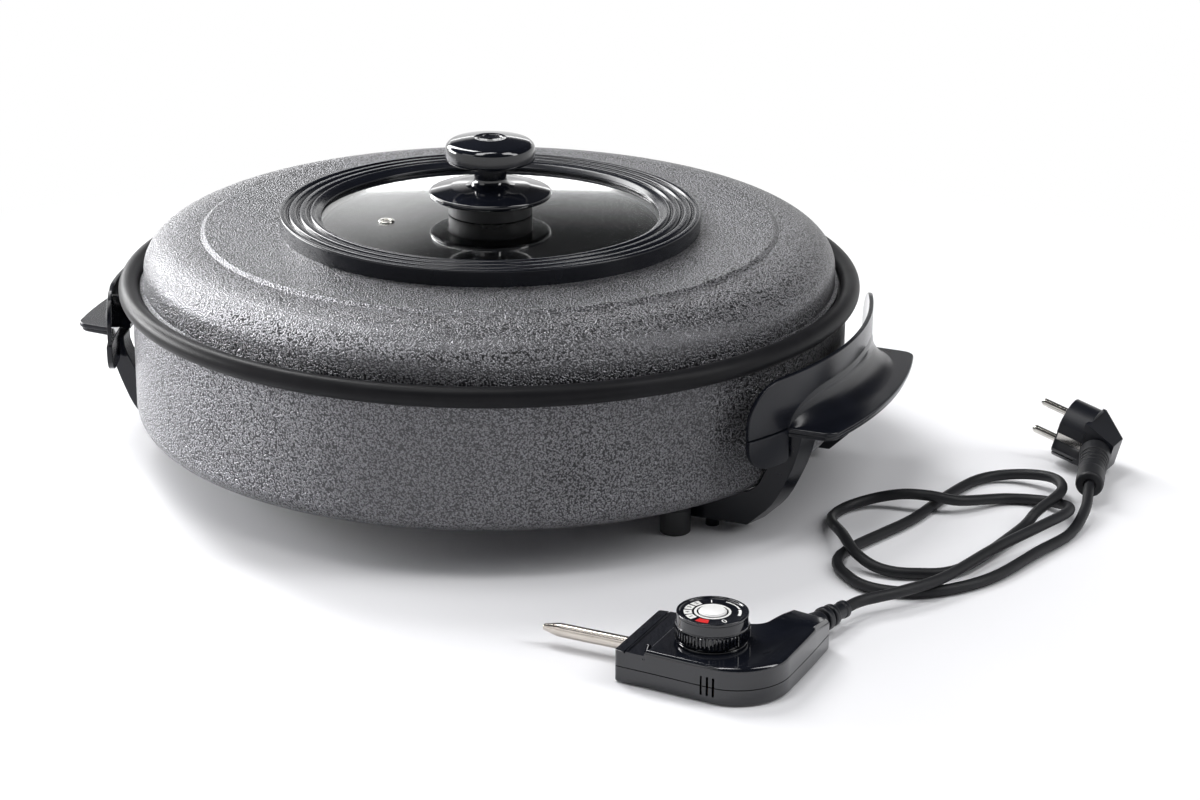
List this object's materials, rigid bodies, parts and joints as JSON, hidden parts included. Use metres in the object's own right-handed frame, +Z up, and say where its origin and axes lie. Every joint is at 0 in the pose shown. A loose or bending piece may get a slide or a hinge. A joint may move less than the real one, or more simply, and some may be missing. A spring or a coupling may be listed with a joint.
{
  "type": "electric pizza pan",
  "caption": "Round electric pan with a lift-off lid, glass window, two end handles with feet, and a loose plug-in thermostat control on a mains cord.",
  "frame": {"origin": "on the table, midway between the pan's four feet, under the centre of the lid's knob", "axes": "+X towards the right handle through both handles, +Y away from the loose control, +Z up"},
  "size_m": [0.6332, 0.5212, 0.1982],
  "materials": {
    "hammered_grey": "hammered grey non-stick coating, metallic",
    "element_steel": "heat-tinted dull steel",
    "zinc_steel": "zinc-plated",
    "nickel": "bright nickel",
    "probe_steel": "satin stainless",
    "contact_brass": "satin",
    "cast_alloy": "as cast",
    "gloss_black": "high gloss, heat-resistant plastic",
    "inner_black": "matt",
    "foot_black": "satin",
    "gasket": "silicone",
    "window_glass": "clear tempered, dark pan behind",
    "cord_black": "matt",
    "plug_black": "satin",
    "dial_print": "white and red printed ring",
    "lens_white": "translucent white",
    "white_plastic": "heat-resistant, unpainted",
    "lamp": "clear neon bulb"
  },
  "bodies": {
    "pan_base": {"pan": "hammered_grey", "heating_element": "element_steel", "element_clips": "zinc_steel", "clip_screws": "zinc_steel", "terminal_pins": "nickel", "inlet_housing": "inner_black", "inlet_screws": "zinc_steel", "probe_well": "cast_alloy", "earth_blade": "contact_brass", "foot_front_left": "foot_black", "foot_front_right": "foot_black", "foot_rear_left": "foot_black", "foot_rear_right": "foot_black", "foot_studs": "zinc_steel", "handle_left": "gloss_black", "handle_right": "gloss_black", "bracket_left": "gloss_black", "bracket_right": "gloss_black", "handle_screws": "zinc_steel", "bracket_screws": "zinc_steel", "cord": "cord_black", "plug_body": "plug_black", "plug_relief": "plug_black", "plug_pins": "nickel", "plug_earth_clips": "nickel"},
    "lid": {"lid_shell": "hammered_grey", "window_ring": "gloss_black", "window_retainer": "inner_black", "retainer_screws": "zinc_steel", "window_gasket": "gasket", "window_glass": "window_glass", "vent_eyelet": "nickel", "knob_grip": "gloss_black", "knob_cap_plug": "gloss_black", "knob_guard": "gloss_black", "knob_washer": "gasket", "knob_screw": "zinc_steel"},
    "control": {"control_base": "gloss_black", "control_cover": "gloss_black", "cover_screws": "zinc_steel", "probe_tube": "probe_steel", "probe_collar": "probe_steel", "thermostat_frame": "zinc_steel", "fixed_contact": "contact_brass", "moving_contact": "contact_brass", "socket_contacts": "contact_brass", "earth_spring": "contact_brass", "pilot_lamp": "lamp", "strain_relief": "cord_black", "cord_clamp": "zinc_steel"},
    "dial": {"dial_knob": "gloss_black", "dial_face": "dial_print", "dial_lens": "lens_white", "dial_spindle": "white_plastic", "adjuster_cam": "white_plastic"}
  },
  "joints": [
    {"name": "lid_lift", "type": "slide", "parent": "pan_base", "child": "lid", "axis": [0, 0, 1], "range_m": [0, 0.2]},
    {"name": "control_lift", "type": "slide", "parent": "pan_base", "child": "control", "axis": [0, 0, 1], "range_m": [0, 0.12]},
    {"name": "dial_turn", "type": "hinge", "parent": "control", "child": "dial", "pos_m": [0.2445, -0.265, 0.03], "axis": [0, 0, -1], "range_deg": [-60, 235]}
  ]
}
